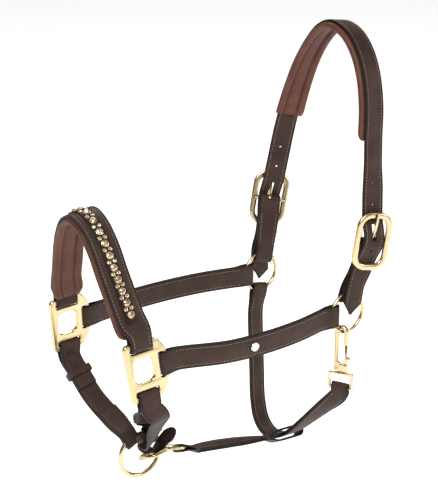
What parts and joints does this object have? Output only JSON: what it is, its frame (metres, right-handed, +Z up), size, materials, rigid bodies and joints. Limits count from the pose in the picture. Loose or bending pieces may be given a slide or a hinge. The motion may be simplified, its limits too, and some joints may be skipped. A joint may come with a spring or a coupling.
{
  "type": "horse headcollar",
  "caption": "Leather headcollar with a padded crown and noseband, slotted brass squares, cheek and lead rings, tongue buckles, chin, jaw and throat straps and a bolt snap.",
  "frame": {"origin": "top of the crown lining's inner face, in the middle, where the headcollar rests on the poll", "axes": "+Z up, +X towards the back of the horse's head, +Y to the far (right) side"},
  "size_m": [0.3647, 0.2124, 0.5024],
  "materials": {
    "leather": "dark brown, semi-matt, with tan stitching",
    "lining": "red-brown, soft, padded",
    "brass": "pale satin gold",
    "crystal": "cut champagne crystals in a pale setting"
  },
  "bodies": {
    "harness": {"near_halter_square": "brass", "far_halter_square": "brass", "near_cheek_strap": "leather", "far_cheek_strap": "leather", "cheek_stud": "brass", "cheek_stud_burr": "brass", "noseband_strap": "leather", "noseband_lining": "lining", "noseband_inlay": "crystal", "far_chin_strap": "leather", "chin_buckle": "brass", "chin_tongue": "brass", "near_chin_strap": "leather", "throat_strap": "leather", "jaw_strap": "leather", "jaw_rivet": "brass", "snap_eye": "brass"},
    "near_ring": {"near_cheek_ring": "brass"},
    "far_ring": {"far_cheek_ring": "brass"},
    "lead_ring": {"lead_ring": "brass"},
    "crown": {"crown_strap": "leather", "crown_lining": "lining", "near_crown_buckle": "brass", "near_buckle_strap": "leather", "far_crown_buckle": "brass", "far_buckle_strap": "leather"},
    "near_tongue": {"near_crown_tongue": "brass"},
    "far_tongue": {"far_crown_tongue": "brass"},
    "snap_hook": {"snap_body": "brass"},
    "snap_bolt": {"snap_bolt": "brass", "snap_spring": "brass"},
    "far_keeper": {"far_chin_keeper": "leather"},
    "near_keeper": {"near_chin_keeper": "leather"}
  },
  "joints": [
    {"name": "near_cheek_ring_turn", "type": "hinge", "parent": "harness", "child": "near_ring", "pos_m": [-0.045, -0.081, -0.3012], "axis": [0, 1, 0], "continuous": true},
    {"name": "far_cheek_ring_turn", "type": "hinge", "parent": "harness", "child": "far_ring", "pos_m": [-0.045, 0.081, -0.3012], "axis": [0, 1, 0], "continuous": true},
    {"name": "lead_ring_turn", "type": "hinge", "parent": "harness", "child": "lead_ring", "pos_m": [-0.2676, 0.003, -0.4466], "axis": [0, 1, 0], "continuous": true},
    {"name": "crown_tilt", "type": "hinge", "parent": "harness", "child": "crown", "pos_m": [-0.045, 0, -0.3012], "axis": [0, 1, 0], "range_deg": [-3, 30]},
    {"name": "near_tongue_lift", "type": "hinge", "parent": "crown", "child": "near_tongue", "pos_m": [-0.025, -0.0947, -0.2164], "axis": [0.9669, -0.1995, -0.1593], "range_deg": [0, 8]},
    {"name": "far_tongue_lift", "type": "hinge", "parent": "crown", "child": "far_tongue", "pos_m": [-0.0225, 0.0944, -0.2166], "axis": [-0.8864, 0.4275, 0.1775], "range_deg": [0, 8]},
    {"name": "snap_swivel", "type": "hinge", "parent": "harness", "child": "snap_hook", "pos_m": [-0.0513, -0.081, -0.3012], "axis": [0, 0, 1], "range_deg": [-38, 4]},
    {"name": "snap_bolt_slide", "type": "slide", "parent": "snap_hook", "child": "snap_bolt", "axis": [0, 0, -1], "range_m": [0, 0.0052], "stiffness_N_per_m": 300, "springref_m": -0.003, "deforming": ["snap_spring"]},
    {"name": "far_keeper_slide", "type": "slide", "parent": "harness", "child": "far_keeper", "axis": [0.1614, -0.7072, -0.6883], "range_m": [-0.004, 0.004]},
    {"name": "near_keeper_slide", "type": "slide", "parent": "harness", "child": "near_keeper", "axis": [0.7139, 0.6213, -0.3229], "range_m": [-0.002, 0.002]}
  ]
}
